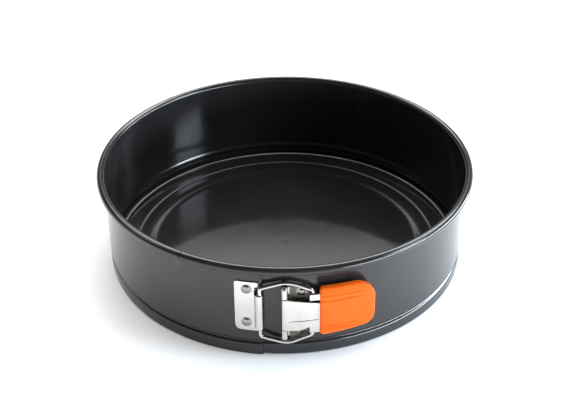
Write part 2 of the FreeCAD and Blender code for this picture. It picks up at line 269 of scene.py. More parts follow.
# Base: a nearly flat floor, a soft slope up to a small shoulder, a flange and a rolled rim.
SLOPE_START, SLOPE_RUN = 0.02, 0.55   # shares of the slope's width in which it rises
slope_r = np.linspace(FLOOR_R, FLANGE_R, 31)
slope_share = (slope_r - FLOOR_R) / (FLANGE_R - FLOOR_R)
steep = s_curve(np.clip((slope_share - SLOPE_START) / SLOPE_RUN, 0, 1))
slope = np.c_[slope_r, SHEET_HALF + (FLANGE_Z - SHOULDER - SHEET_HALF) * steep]
slope[:, 1] += SHOULDER * np.clip((slope_r - SHOULDER_R) / (FLANGE_R - SHOULDER_R), 0, 1) ** 1.5
base_path = np.concatenate([
    [[r, SHEET_HALF + DOME * (1 - (r / FLOOR_R) ** 2) ** 2] for r in np.linspace(0, 85, 18)],
    slope,
    [[r, FLANGE_Z] for r in (104.5, 108.0, 112.0, 115.0)],
    bend((BEAD_R, BEAD_Z), BEAD_BEND, 165, -170, 30)])


def base_ring(degrees):
    return turned(thicken(base_path, SHEET_HALF, start_bulge=0), degrees)


disc = Skin()
sweep(disc, base_ring, degree_steps(0, 360))
base = disc.make("base_pan")


# Pressed steel plates: a flat outline with rounded edges, cut into strips and then bent.
def corner_arc(previous, here, following, radius, steps):
    """Points round a corner, on an arc that touches both of its sides."""
    here = np.array(here, float)
    before, after = unit(np.array(previous, float) - here), unit(np.array(following, float) - here)
    half = math.acos(max(-1.0, min(1.0, before @ after))) / 2
    back = radius / math.tan(half)
    centre = here + unit(before + after) * (radius / math.sin(half))
    first, last = here + before * back - centre, here + after * back - centre
    angle = math.atan2(first[0] * last[1] - first[1] * last[0], first @ last)
    points = []
    for k in range(steps + 1):
        c, s = math.cos(angle * k / steps), math.sin(angle * k / steps)
        points.append(centre + (first[0] * c - first[1] * s, first[0] * s + first[1] * c))
    return points


def rounded(corners, radii, steps=6):
    """A closed outline with each corner rounded."""
    points = []
    for i, radius in enumerate(radii):
        following = corners[(i + 1) % len(corners)]
        points += corner_arc(corners[i - 1], corners[i], following, radius, steps)
    return points


def flat_plate(outlines, half, edge, rounds=2):
    """A flat plate as a mesh: outline in X and Y, thickness in Z, edges rounded."""
    curve = bpy.data.curves.new("outline", "CURVE")
    curve.dimensions = "2D"
    curve.fill_mode = "BOTH"
    curve.extrude = half - edge
    curve.bevel_depth = edge
    curve.bevel_resolution = rounds
    curve.offset = -edge
    for outline in outlines:
        spline = curve.splines.new("POLY")
        spline.points.add(len(outline) - 1)
        spline.points.foreach_set("co", [v for p in outline for v in (p[0], p[1], 0, 1)])
        spline.use_cyclic_u = True
    holder = bpy.data.objects.new("outline", curve)
    bpy.context.scene.collection.objects.link(holder)
    mesh = bpy.data.meshes.new_from_object(holder)
    bpy.data.objects.remove(holder)
    bpy.data.curves.remove(curve)
    return mesh


def cut(work, place, direction):
    """Slice a bmesh along a plane, keeping both sides."""
    everything = work.verts[:] + work.edges[:] + work.faces[:]
    bmesh.ops.bisect_plane(work, geom=everything, plane_co=place, plane_no=direction)


def pressed(name, outlines, half, edge, placed, u_cuts, z_cuts=(), slants=(), rounds=2):
    """Cut a flat plate at the given lines, then put each vertex where placed(u, z, w) says."""
    work = bmesh.new()
    work.from_mesh(flat_plate(outlines, half, edge, rounds))
    bmesh.ops.remove_doubles(work, verts=work.verts[:], dist=0.002)
    for u in u_cuts:
        cut(work, (u, 0, 0), (1, 0, 0))
    for z in z_cuts:
        cut(work, (0, z, 0), (0, 1, 0))
    for place, direction in slants:
        cut(work, place, direction)
    for vertex in work.verts:
        vertex.co = Vector(placed(*vertex.co)) * MM
    bmesh.ops.remove_doubles(work, verts=work.verts[:], dist=0.000001)
    bmesh.ops.recalc_face_normals(work, faces=work.faces[:])
    mesh = bpy.data.meshes.new(name)
    work.to_mesh(mesh)
    work.free()
    mesh.polygons.foreach_set("use_smooth", [True] * len(mesh.polygons))
    mesh.set_sharp_from_angle(angle=math.radians(55))
    obj = bpy.data.objects.new(name, mesh)
    bpy.context.scene.collection.objects.link(obj)
    weighted = obj.modifiers.new("weighted", "WEIGHTED_NORMAL")
    weighted.keep_sharp = True
    weighted.weight = 80
    return obj


class PlanPath:
    """A bent sheet's middle line, seen from above, measured from a chosen point."""

    def __init__(self, points, zero):
        self.points = np.array(points)
        steps = np.linalg.norm(np.diff(self.points, axis=0), axis=1)
        self.run = np.concatenate([[0], np.cumsum(steps)])
        self.run -= self.run[np.argmin(np.linalg.norm(self.points - zero, axis=1))]
        ahead = unit(np.gradient(self.points, self.run, axis=0))
        self.side = np.c_[ahead[:, 1], -ahead[:, 0]]

    def at(self, u, w):
        """Plan position a distance u along the line and w out to its right."""
        middle = np.array([np.interp(u, self.run, self.points[:, i]) for i in (0, 1)])
        out = np.array([np.interp(u, self.run, self.side[:, i]) for i in (0, 1)])
        return middle + w * out / np.linalg.norm(out)

    def of_x(self, x, among):
        """Distance along the line of the point with this x, in a stretch of the line."""
        inside = (self.run >= among[0]) & (self.run <= among[1])
        return float(np.interp(x, self.points[inside, 0], self.run[inside]))


def along(path):
    """A placing function that lays a flat sheet along a plan path."""
    return lambda u, z, w: (*path.at(u, w), z)


def basis(axis):
    """Centre, outward and rightward directions of a vertical axis at the front."""
    centre = front(*axis)
    outward = unit(centre)
    return centre, outward, np.array([-outward[1], outward[0]])


def wrap(axis, radius, start, end, steps):
    """Plan points round a vertical axis; 0 is outwards and 90 is to the right."""
    centre, outward, rightward = basis(axis)
    turn = np.radians(np.linspace(start, end, steps + 1))[:, None]
    return centre + radius * (outward * np.cos(turn) + rightward * np.sin(turn))


# Catch plate: flat on the tongue, eased out and curled over the wire, back to the plate.
CATCH_HALF, CATCH_MID = 0.35, 122.3
CATCH_LEFT, CATCH_EDGE = -29.1, -14.8
CATCH_BOTTOM, CATCH_TOP = 19.0, 55.2
CURL_BOTTOM, CURL_TOP = 22.6, 47.4
CURL_R, CURL_LIP_X = 1.57, 3.25
RISE_X, RISE_RUN = -17.0, 3.2          # where the plate starts to rise, and over how far
curl_rise = CATCH_AXIS[1] - CURL_R - CATCH_MID
catch_line = [front(x, CATCH_MID) for x in np.linspace(CATCH_LEFT, RISE_X, 14)]
catch_line += [front(x, CATCH_MID + curl_rise * smooth((x - RISE_X) / RISE_RUN))
               for x in np.linspace(RISE_X + 0.4, CATCH_AXIS[0] - 0.2, 8)]
catch_line += list(wrap(CATCH_AXIS, CURL_R, 180, 0, 24))
centre, outward, rightward = basis(CATCH_AXIS)
lip_drop = CATCH_AXIS[1] + CURL_R - (CATCH_MID + 2 * CATCH_HALF + 0.15)
for turn in np.radians(np.linspace(6, 86, 14)):
    catch_line.append(centre + outward * (CURL_R - lip_drop * (1 - math.cos(turn)))
                      - rightward * CURL_LIP_X * math.sin(turn))
catch_path = PlanPath(catch_line, catch_line[0])
curl_from = catch_path.of_x(RISE_X + 0.1, (0, 13))
curl_end = catch_path.run[-1]
edge_u = catch_path.of_x(CATCH_EDGE, (0, 16))
notch_u = catch_path.of_x(RISE_X - 0.3, (0, 16))
catch_outline = rounded(
    [(0, CATCH_BOTTOM), (edge_u, CATCH_BOTTOM), (edge_u, CURL_BOTTOM), (curl_end, CURL_BOTTOM),
     (curl_end, CURL_TOP), (edge_u - 0.3, CURL_TOP), (edge_u - 0.9, CURL_TOP - 1.5),
     (notch_u + 0.2, CURL_TOP - 1.2), (notch_u, 49.0), (notch_u + 0.7, 49.9),
     (notch_u + 0.2, 51.2), (edge_u, 52.3), (edge_u, CATCH_TOP), (0, CATCH_TOP)],
    (3.5, 0.5, 0.3, 0.5, 0.5, 0.3, 0.7, 0.9, 0.8, 0.4, 0.4, 0.5, 0.7, 1.8))
catch_plate = pressed(
    "catch_plate_steel", [catch_outline], CATCH_HALF, edge=0.17, placed=along(catch_path),
    u_cuts=np.concatenate([np.arange(1.2, curl_from, 1.2), np.arange(curl_from, curl_end, 0.22)]))

# Lever: curled round its pin, then a curved plate with a pressed panel.
LEVER_HALF, LEVER_MID, BARREL_R = 0.45, 126.05, 1.6
LEVER_END = 50.0
LEVER_KNUCKLE = (22.9, 45.5)
LEVER_LEFT, LEVER_BOTTOM, LEVER_TOP = 15.8, 20.6, 46.3
LUG_RIGHT, LUG_TOP, LUG_IN = 26.0, 49.3, 122.65
CURL_DEG, CURL_STEPS = 300, 50         # how far its left end is curled round the pin
lever_line = list(wrap(PIN_AXIS, BARREL_R, -CURL_DEG, 0, CURL_STEPS))
lever_line += [front(x, LEVER_MID) for x in np.linspace(1.4, LEVER_END + 1, 60)]
lever_path = PlanPath(lever_line, lever_line[CURL_STEPS])
CURLED = -BARREL_R * math.radians(CURL_DEG)


def lever_u(x):
    return lever_path.of_x(x, (0, 60))


PANEL_RISE = -0.35                     # pressed inwards
PANEL_FROM, PANEL_TO = 3.6, 21.2
PANEL_LOW, PANEL_LOW_END = (29.1, 30.0), 22.0   # its lower edge slopes up to the right
LEFT_STEP, LOW_STEP, RIGHT_STEP = 2.2, 0.35, 0.5


def panel_height(u, z):
    """How far the lever's pressed panel stands out at a place on it."""
    share = min(max(u / lever_u(PANEL_LOW_END), 0), 1)
    low = PANEL_LOW[0] + (PANEL_LOW[1] - PANEL_LOW[0]) * share
    left = smooth((u - PANEL_FROM) / LEFT_STEP + 1)
    right = smooth((lever_u(PANEL_TO) - u) / RIGHT_STEP)
    return PANEL_RISE * left * smooth((z - low) / LOW_STEP) * right


def placed_lever(u, z, w):
    x, y = lever_path.at(u, w + panel_height(u, z))
    return x, y, z


lever_outline = rounded(
    [(CURLED, LEVER_KNUCKLE[0]), (1.6, LEVER_KNUCKLE[0]),
     (lever_u(9.7), 22.6), (lever_u(13.0), 23.7), (lever_u(LEVER_LEFT), 25.1),
     (lever_u(LEVER_LEFT), LEVER_BOTTOM), (lever_u(24), LEVER_BOTTOM),
     (lever_u(25), 21.2), (lever_u(LEVER_END), 21.2),
     (lever_u(LEVER_END), LEVER_TOP), (lever_u(LUG_RIGHT), LEVER_TOP),
     (lever_u(LUG_RIGHT), 42.1), (lever_u(22.0), 42.2), (lever_u(10.3), 44.0), (lever_u(4.6), 44.9),
     (1.6, LEVER_KNUCKLE[1]), (CURLED, LEVER_KNUCKLE[1])],
    (0.3, 3.0, 3.0, 2.0, 0.5, 0.5, 1.0, 1.0, 4.0, 4.0, 0.3, 0.3, 6.0, 8.0, 3.0, 2.0, 0.3))
crease = math.atan2(PANEL_LOW[1] - PANEL_LOW[0], lever_u(PANEL_LOW_END))
crease_cuts = [((0, PANEL_LOW[0] + step, 0), (-math.sin(crease), math.cos(crease), 0))
               for step in (-0.02, 0.09, 0.18, 0.27, 0.38)]
panel_end = lever_u(PANEL_TO)
lever_steel = pressed(
    "lever_steel", [lever_outline], LEVER_HALF, edge=0.18, placed=placed_lever,
    u_cuts=np.concatenate([np.arange(CURLED + 0.3, 0.6, 0.25), np.arange(0.9, 4.2, 0.4),
                           np.arange(5, panel_end - 0.7, 1.0),
                           np.linspace(panel_end - 0.6, panel_end + 0.1, 6),
                           np.arange(lever_u(22.4), lever_u(LEVER_END), 1.5)]),
    slants=crease_cuts)

# The lever's two lugs: flanges turned back towards the band, which hold the wire's ends.
# Their front edge starts with a small lip: how far in from the sheet, and how far along.
LUG_LIP = ((0, 0), (0.05, 1.5), (0.19, 1.75), (0.08, 2.0))
lug_sides = [math.degrees(math.asin(x / LEVER_MID)) + 270 for x in (LEVER_LEFT, LUG_RIGHT)]


def lug(name, top, edge, sign, bend_r, lean):
    """A flange whose outer face is at the height top and whose front edge ends at edge."""
    face_z = top - sign * LEVER_HALF
    corner = (LEVER_MID - lean - bend_r, face_z - sign * bend_r)
    tilt = sign * math.degrees(math.atan2(lean, abs(corner[1] - edge)))
    path = np.concatenate([
        [[LEVER_MID - inward, edge + sign * onward] for inward, onward in LUG_LIP],
        bend(corner, bend_r, tilt, sign * 90, 8),
        [[LUG_AXIS[1], face_z], [LUG_IN, face_z]]])
    skin = Skin()
    sweep(skin, lambda degrees: turned(thicken(path, LEVER_HALF), degrees),
          np.linspace(*lug_sides, 12), (True, True))
    return skin.make(name)


lug_upper = lug("lever_lug_upper", LUG_TOP, edge=44.9, sign=1, bend_r=0.55, lean=0.3)
lug_lower = lug("lever_lug_lower", LEVER_BOTTOM, edge=24.5, sign=-1, bend_r=1.3, lean=0.0)

# Hinge plate: flat on the band, eased out and curled round the pin in two knuckles.
HINGE_HALF, HINGE_MID = 0.45, 121.27
HINGE_RIGHT, HINGE_BOTTOM, HINGE_TOP = 16.1, 13.5, 52.9
HINGE_KNUCKLES = ((15.9, 22.5), (45.9, 52.6))
HINGE_RISE_X, HINGE_RISE_RUN = 5.2, 4.4
hinge_rise = PIN_AXIS[1] - BARREL_R - HINGE_MID
hinge_line = [front(x, HINGE_MID) for x in np.linspace(HINGE_RIGHT, HINGE_RISE_X + 0.2, 14)]
hinge_line += [front(x, HINGE_MID + hinge_rise * smooth((HINGE_RISE_X - x) / HINGE_RISE_RUN))
               for x in np.linspace(HINGE_RISE_X - 0.2, PIN_AXIS[0] + 0.2, 10)]
hinge_line += list(wrap(PIN_AXIS, BARREL_R, -180, 105, 48))
hinge_path = PlanPath(hinge_line, hinge_line[0])
hinge_end = hinge_path.run[-1]
hinge_body = 11.6                      # the length of its flat part
hinge_outline = rounded(
    [(0, HINGE_BOTTOM), (hinge_body, HINGE_BOTTOM), (hinge_body + 1.2, HINGE_KNUCKLES[0][0]),
     (hinge_end, HINGE_KNUCKLES[0][0]), (hinge_end, HINGE_KNUCKLES[0][1]),
     (hinge_body + 1.4, HINGE_KNUCKLES[0][1]), (hinge_body + 1.4, HINGE_KNUCKLES[1][0]),
     (hinge_end, HINGE_KNUCKLES[1][0]), (hinge_end, HINGE_KNUCKLES[1][1]),
     (hinge_body + 1.2, HINGE_KNUCKLES[1][1]), (hinge_body, HINGE_TOP), (0, HINGE_TOP)],
    (3.0, 1.0, 0.8, 0.4, 0.4, 0.6, 0.6, 0.4, 0.4, 0.3, 0.5, 3.0))
hinge_plate = pressed(
    "hinge_plate_steel", [hinge_outline], HINGE_HALF, edge=0.18, placed=along(hinge_path),
    u_cuts=np.concatenate([np.arange(1.2, hinge_body - 1.6, 1.2),
                           np.arange(hinge_body - 1.5, hinge_end, 0.25)]))


def lathe(name, profile, centre, axis, steps=48):
    """Turn a profile of (radius, height) round an axis through a centre."""
    axis = unit(np.array(axis, float))
    helper = np.array([0, 0, 1.0]) if abs(axis[2]) < 0.9 else np.array([1.0, 0, 0])
    first = unit(np.cross(helper, axis))
    second = np.cross(axis, first)
    profile = np.array(profile, float)
    slope = np.gradient(profile, axis=0)
    facing = unit(np.c_[slope[:, 1], -slope[:, 0]])
    skin = Skin()
    turns = np.linspace(0, 2 * math.pi, steps + 1)
    spokes = [first * math.cos(t) + second * math.sin(t) for t in turns]
    for a, b in zip(spokes, spokes[1:]):
        for k in range(len(profile) - 1):
            corners, normals = [], []
            for spoke, i in ((a, k), (b, k), (b, k + 1), (a, k + 1)):
                corners.append(centre + spoke * profile[i, 0] + axis * profile[i, 1])
                normals.append(spoke * facing[i, 0] + axis * facing[i, 1])
            skin.add(corners, normals)
    return skin.make(name)


RIVET_TOP, BRIM_TOP = 1.17, 0.3
RIVET_BRIM = [(0, -1.4), (1.5, -1.4), (1.5, 0.0), (3.1, 0.0), (3.18, 0.06), (3.2, 0.14),
              (3.15, 0.22), (3.02, 0.28)]


def rivet(name, x, z, face, dome_r):
    """A round-headed rivet with a soft brim, square to the band."""
    rise = RIVET_TOP - BRIM_TOP
    cap = (dome_r ** 2 + rise ** 2) / (2 * rise)
    dome = [(cap * math.sin(t), RIVET_TOP - cap + cap * math.cos(t))
            for t in np.linspace(math.asin(dome_r / cap), 0, 14)]
    foot = front(x, face)
    return lathe(name, RIVET_BRIM + dome, np.append(foot, z), np.append(unit(foot), 0))


rivets = {}
for node, x, z, face, dome_r in (
        ("catch_rivet_upper", -21.9, 49.9, CATCH_MID + CATCH_HALF, 2.9),
        ("catch_rivet_lower", -22.2, 25.3, CATCH_MID + CATCH_HALF, 2.9),
        ("hinge_rivet_upper", 11.0, 48.8, HINGE_MID + HINGE_HALF, 2.3),
        ("hinge_rivet_lower", 11.0, 20.6, HINGE_MID + HINGE_HALF, 2.3)):
    rivets[node] = rivet(node + "_steel", x, z, face, dome_r)

# Hinge pin: a small foot under the lower knuckle and a domed head on the upper one.
HEAD_R, HEAD_Z, HEAD_RISE = 2.1, 53.0, 1.1
pin_profile = [(0, 15.2), (1.3, 15.2), (1.5, 15.3), (1.6, 15.5), (1.6, 15.8), (1.2, 15.9)]
pin_profile += [(1.2, 30), (1.2, 52.6), (1.9, 52.7), (2.05, 52.8), (HEAD_R, 52.95)]
pin_profile += [(HEAD_R * math.cos(t), HEAD_Z + HEAD_RISE * math.sin(t))
                for t in np.radians(np.linspace(5, 85, 12))]
pin_profile += [(0, HEAD_Z + HEAD_RISE)]
hinge_pin = lathe("hinge_pin_steel", pin_profile, np.append(front(*PIN_AXIS), 0), (0, 0, 1))

# Wire loop, in the upright plane through its two axes. Pairs are its lower and upper heights.
LOOP_LEFT, LOOP_APEX, LOOP_RIGHT = (16.6, 52.3), (10.9, 57.1), (17.8, 51.0)
LOOP_ENDS, APEX_SHARE = (22.6, 44.6), 0.52
LOOP_BEND, APEX_BEND = 2.4, (12.0, 18.0)


def wire_line():
    """Points along the wire as (distance from the catch towards the lug, height)."""
    span = float(np.linalg.norm(front(*LUG_AXIS) - front(*CATCH_AXIS)))
    apex = span * APEX_SHARE
    stops = [(span, LOOP_ENDS[1]), (span, LOOP_RIGHT[1]), (apex, LOOP_APEX[1]), (0, LOOP_LEFT[1]),
             (0, LOOP_LEFT[0]), (apex, LOOP_APEX[0]), (span, LOOP_RIGHT[0]), (span, LOOP_ENDS[0])]
    radii = (LOOP_BEND, APEX_BEND[1], LOOP_BEND, LOOP_BEND, APEX_BEND[0], LOOP_BEND)
    points = [np.array(stops[0])]
    for previous, here, following, radius in zip(stops, stops[1:], stops[2:], radii):
        points += corner_arc(previous, here, following, radius, 12)
    points.append(np.array(stops[-1]))
    return np.array(points)


def wire(name, sides=28):
    """A round wire with softly rounded ends, along wire_line."""
    flat = wire_line()
    start = front(*CATCH_AXIS)
    chord = unit(front(*LUG_AXIS) - start)
    away = np.array([chord[1], -chord[0], 0])
    ahead = unit(np.gradient(flat, axis=0))
    ahead[0], ahead[-1] = unit(flat[1] - flat[0]), unit(flat[-1] - flat[-2])
    quarter = np.radians([0, 25, 50, 70])
    last = len(flat) - 1
    # Each ring: point along the wire, shift along it, share of the radius, lean of the normals
    start_cap = [(0, WIRE_R * (1 - math.cos(t)), math.sin(t), -math.cos(t)) for t in quarter]
    end_cap = [(last, -shift, size, -lean) for _, shift, size, lean in start_cap[::-1]]
    stations = start_cap + [(0, WIRE_R, 1.0, 0.0)]
    stations += [(k, 0.0, 1.0, 0.0) for k in range(1, last)]
    stations += [(last, -WIRE_R, 1.0, 0.0)] + end_cap
    turns = np.linspace(0, 2 * math.pi, sides, endpoint=False)
    rings = []
    for k, shift, size, lean in stations:
        at = flat[k] + ahead[k] * shift
        centre = np.array([start[0] + chord[0] * at[0], start[1] + chord[1] * at[0], at[1]])
        forward = np.array([chord[0] * ahead[k, 0], chord[1] * ahead[k, 0], ahead[k, 1]])
        side = np.cross(forward, away)
        spokes = [away * math.cos(t) + side * math.sin(t) for t in turns]
        rings.append([(centre + WIRE_R * size * s, s * size + forward * lean) for s in spokes])
    skin = Skin()
    for near, far in zip(rings, rings[1:]):
        for i in range(sides):
            j = (i + 1) % sides
            quad = (near[i], far[i], far[j], near[j])
            skin.add([q[0] for q in quad], [q[1] for q in quad])
    return skin.make(name)


wire_loop = wire("wire_loop_steel")

# Grip: a soft sleeve with moulded grooves, crowned and rounded all over.
GRIP_LEFT, GRIP_RIGHT, GRIP_BOTTOM, GRIP_TOP = 21.7, 54.7, 18.8, 53.8
GRIP_IN, GRIP_OUT, GRIP_EDGE = 123.3, 128.3, 1.7
GRIP_MID = (GRIP_IN + GRIP_OUT) / 2
GRIP_SLOPE, GRIP_TOP_SLOPE = 2.8, 0.2  # its right end is this much shorter below and above
GRIP_ROUNDS = (2.6, 7.5, 13.0, 1.8)
GRIP_GROOVES = ((51.2, 0.35, 0.35), (48.4, 0.70, 0.55), (44.7, 0.75, 0.55),
                (26.0, 0.60, 0.45), (23.6, 0.60, 0.45))   # height, depth, half width
GRIP_FADE = (40.0, 50.0)               # the grooves fade out between these
GRIP_CROWN, CROWN_EDGE = 0.25, 5.0     # how far it stands out, and from how far inside the edge
FACE_W = 2.0                           # how deep the outer face's shaping fades in


def placed_grip(u, z, w):
    """Crown the grip's outer face and press the grooves into it, then bend it to the band."""
    if w > 0:
        edge = min(u - GRIP_LEFT, GRIP_RIGHT - u, z - GRIP_BOTTOM, GRIP_TOP - z)
        run = 1 - smooth((u - GRIP_FADE[0]) / (GRIP_FADE[1] - GRIP_FADE[0]))
        dip = sum(depth * math.exp(-((z - at) / width) ** 2) for at, depth, width in GRIP_GROOVES)
        across = (z - (GRIP_BOTTOM + GRIP_TOP) / 2) / ((GRIP_TOP - GRIP_BOTTOM) / 2)
        crown = GRIP_CROWN * (1 - across * across) * smooth(edge / CROWN_EDGE)
        w += (crown - dip * run) * smooth(w / FACE_W)
    x, y = front(u, GRIP_MID) * (GRIP_MID + w) / GRIP_MID
    return x, y, z


grip_outline = rounded(
    [(GRIP_LEFT, GRIP_BOTTOM), (GRIP_RIGHT, GRIP_BOTTOM + GRIP_SLOPE),
     (GRIP_RIGHT, GRIP_TOP - GRIP_TOP_SLOPE), (GRIP_LEFT, GRIP_TOP)], GRIP_ROUNDS, steps=14)
grip = pressed(
    "lever_grip_silicone", [grip_outline], (GRIP_OUT - GRIP_IN) / 2, GRIP_EDGE, placed_grip,
    u_cuts=np.arange(GRIP_LEFT + 1.0, GRIP_RIGHT, 1.0),
    z_cuts=np.arange(GRIP_BOTTOM + 0.5, GRIP_TOP, 0.25), rounds=5)


# Materials: lengths inside them are in metres, and noise scales are per metre.
def node_material(name):
    """A material, its tree, its shader and the place of a point in the pan's frame."""
    material = bpy.data.materials.new(name)
    material.use_nodes = True
    tree = material.node_tree
    where = tree.nodes.new("ShaderNodeTexCoord").outputs["Object"]
    return material, tree, tree.nodes["Principled BSDF"], where


def noise(tree, where, scale, detail=3.0, rough=0.5, stretch=None):
    if stretch:
        mapping = tree.nodes.new("ShaderNodeMapping")
        mapping.inputs["Scale"].default_value = stretch
        tree.links.new(where, mapping.inputs["Vector"])
        where = mapping.outputs["Vector"]
    node = tree.nodes.new("ShaderNodeTexNoise")
    node.inputs["Scale"].default_value = scale
    node.inputs["Detail"].default_value = detail
    node.inputs["Roughness"].default_value = rough
    tree.links.new(where, node.inputs["Vector"])
    return node.outputs["Fac"]


def ramp(tree, value, first, last, stops=(0.3, 0.7)):
    """A colour that goes from first to last as a value goes from one stop to the other."""
    node = tree.nodes.new("ShaderNodeValToRGB")
    for element, at, colour in zip(node.color_ramp.elements, stops, (first, last)):
        element.position = at
        element.color = (*colour, 1)
    tree.links.new(value, node.inputs["Fac"])
    return node.outputs["Color"]


def remap(tree, value, low, high, source=(0.3, 0.7)):
    """A number that goes from low to high as a value crosses the source range."""
    node = tree.nodes.new("ShaderNodeMapRange")
    for key, number in zip(("From Min", "From Max", "To Min", "To Max"), (*source, low, high)):
        node.inputs[key].default_value = number
    tree.links.new(value, node.inputs["Value"])
    return node.outputs["Result"]


def blend_colour(tree, share, a, b):
    node = tree.nodes.new("ShaderNodeMix")
    node.data_type = "RGBA"
    tree.links.new(share, node.inputs[0])
    for source, socket in ((a, node.inputs[6]), (b, node.inputs[7])):
        if isinstance(source, tuple):
            socket.default_value = (*source, 1)
        else:
            tree.links.new(source, socket)
    return node.outputs[2]


def math_node(tree, operation, *values):
    """A Math node on one or two values, each a socket or a number."""
    node = tree.nodes.new("ShaderNodeMath")
    node.operation = operation
    for value, socket in zip(values, node.inputs):
        if isinstance(value, (int, float)):
            socket.default_value = value
        else:
            tree.links.new(value, socket)
    return node.outputs[0]


def times(tree, a, b):
    return math_node(tree, "MULTIPLY", a, b)


def bump(tree, height, strength, distance, before=None):
    node = tree.nodes.new("ShaderNodeBump")
    node.inputs["Strength"].default_value = strength
    node.inputs["Distance"].default_value = distance
    tree.links.new(height, node.inputs["Height"])
    if before:
        tree.links.new(before, node.inputs["Normal"])
    return node.outputs["Normal"]


def places(tree, where):
    """Distance from the pan's axis, and height."""
    split = tree.nodes.new("ShaderNodeSeparateXYZ")
    tree.links.new(where, split.inputs[0])
    x, y, z = split.outputs
    squares = math_node(tree, "ADD", times(tree, x, x), times(tree, y, y))
    return math_node(tree, "POWER", squares, 0.5), z


def band_of(tree, value, low, high, soft):
    """1 where a value lies between two limits, fading to 0 over a soft edge."""
    rising = remap(tree, value, 0, 1, (low - soft, low))
    return times(tree, rising, remap(tree, value, 1, 0, (high, high + soft)))


COATING_DARK, COATING_LIGHT = (0.0130, 0.0127, 0.0130), (0.0190, 0.0185, 0.0190)
BARE_METAL_AND_HIGHLIGHT = (0.33, 0.33, 0.335)
WEAR_AND_HIGHLIGHT_SOFT, WEAR_AND_HIGHLIGHT_RISE = 0.0003, 0.0002


def nonstick(name, rough, wear_and_highlight_lines):
    """Dark glossy coating with lighter lines. Each line is (radius, height above it, half width,
    share); a line is real wear or a painted highlight.
    """
    material, tree, shader, where = node_material(name)
    colour = ramp(tree, noise(tree, where, 22, 4), COATING_DARK, COATING_LIGHT)
    radius, height = places(tree, where)
    line_breakup = noise(tree, where, 900, 5, 0.7)
    # Each line lightens the coating towards bare metal: real wear on the band's rim top, a painted
    # highlight on the base's bead crest and flange edge.
    for at, above, half, share in wear_and_highlight_lines:
        line = times(tree, band_of(tree, radius, at - half, at + half, WEAR_AND_HIGHLIGHT_SOFT),
                     remap(tree, height, 0, 1, (above - WEAR_AND_HIGHLIGHT_RISE, above)))
        wear_and_highlight = times(tree, line, remap(tree, line_breakup, share * 0.6, share, (0.35, 0.65)))
        colour = blend_colour(tree, wear_and_highlight, colour, BARE_METAL_AND_HIGHLIGHT)
    tree.links.new(colour, shader.inputs["Base Color"])
    tree.links.new(remap(tree, noise(tree, where, 45, 4), *rough), shader.inputs["Roughness"])
    shader.inputs["IOR"].default_value = 1.49
    grain = bump(tree, noise(tree, where, 2600, 2), strength=0.05, distance=0.0001)
    waves = bump(tree, noise(tree, where, 120, 3), strength=0.03, distance=0.0004, before=grain)
    tree.links.new(waves, shader.inputs["Normal"])
    return material


STEEL_DARK, STEEL_LIGHT = (0.53, 0.51, 0.485), (0.60, 0.58, 0.555)
PAINTED_SHADE_DARK, PAINTED_SHADE_LIGHT = (0.10, 0.082, 0.065), (0.26, 0.225, 0.19)
PAINTED_SHADE_RADII = (0.1219, 0.1224)         # painted shade nearer the axis, none further out


def bright_steel(name, low, high, grain, tone=1.0, dull_and_shaded=False):
    """Plated steel. Dull and shaded steel has painted brown shade where it lies flat on the band,
    and is rougher and less metallic there.
    """
    material, tree, shader, where = node_material(name)
    dark, light = [tuple(tone * v for v in c) for c in (STEEL_DARK, STEEL_LIGHT)]
    colour = ramp(tree, noise(tree, where, 160, 4), dark, light)
    rough = remap(tree, noise(tree, where, 420, 5, 0.6), low, high)
    shader.inputs["Metallic"].default_value = 1.0
    if dull_and_shaded:
        # Where the plate lies flat, its colour is painted brown shade, darker than the bright
        # knuckles.
        flat = remap(tree, places(tree, where)[0], 1, 0, PAINTED_SHADE_RADII)
        painted_shade = ramp(tree, noise(tree, where, 700, 4, 0.7), PAINTED_SHADE_DARK, PAINTED_SHADE_LIGHT, (0.35, 0.65))
        colour = blend_colour(tree, flat, colour, painted_shade)
        rough = math_node(tree, "ADD", rough, times(tree, flat, 0.35))
        tree.links.new(remap(tree, flat, 1.0, 0.25, (0, 1)), shader.inputs["Metallic"])
    tree.links.new(colour, shader.inputs["Base Color"])
    tree.links.new(rough, shader.inputs["Roughness"])
    soft = bump(tree, noise(tree, where, 260, 3), strength=0.08, distance=0.0003)
    lines = noise(tree, where, 900, 3, 0.6, grain)
    tree.links.new(bump(tree, lines, strength=0.04, distance=0.0001, before=soft),
                   shader.inputs["Normal"])
    return material


def silicone():
    material, tree, shader, where = node_material("orange_silicone")
    colour = ramp(tree, noise(tree, where, 90, 4), (0.95, 0.135, 0.003), (1.0, 0.160, 0.004))
    tree.links.new(colour, shader.inputs["Base Color"])
    tree.links.new(remap(tree, noise(tree, where, 220, 4), 0.36, 0.48), shader.inputs["Roughness"])
    shader.inputs["Specular IOR Level"].default_value = 0.22
    shader.inputs["Subsurface Weight"].default_value = 0.1
    shader.inputs["Subsurface Radius"].default_value = (1.0, 0.3, 0.05)
    shader.inputs["Subsurface Scale"].default_value = 0.0015
    matt = bump(tree, noise(tree, where, 1800, 3), strength=0.10, distance=0.0001)
    tree.links.new(matt, shader.inputs["Normal"])
    return material


coating = nonstick("nonstick_band", (0.13, 0.19), [(0.1228, 0.0668, 0.0006, 0.10)])
# The base's two lines, on the bead's crest and at the flange's inner edge, are painted highlights
# drawn as worn coating.
base_coating = nonstick("nonstick_base", (0.08, 0.12),
                        [(0.1166, 0.0032, 0.0007, 0.6), (0.1038, 0.0022, 0.0004, 0.25)])
plate_steel = bright_steel("bright_plate_steel", 0.06, 0.13, (1, 1, 14))
# The hinge plate's flat part carries painted brown shade in its colour.
hinge_steel = bright_steel("hinge_plate_steel", 0.09, 0.2, (1, 1, 14), dull_and_shaded=True)
rivet_steel = bright_steel("rivet_steel", 0.10, 0.2, (1, 1, 1), 0.5)
wire_steel = bright_steel("bright_wire_steel", 0.05, 0.11, (1, 1, 3))
orange = silicone()

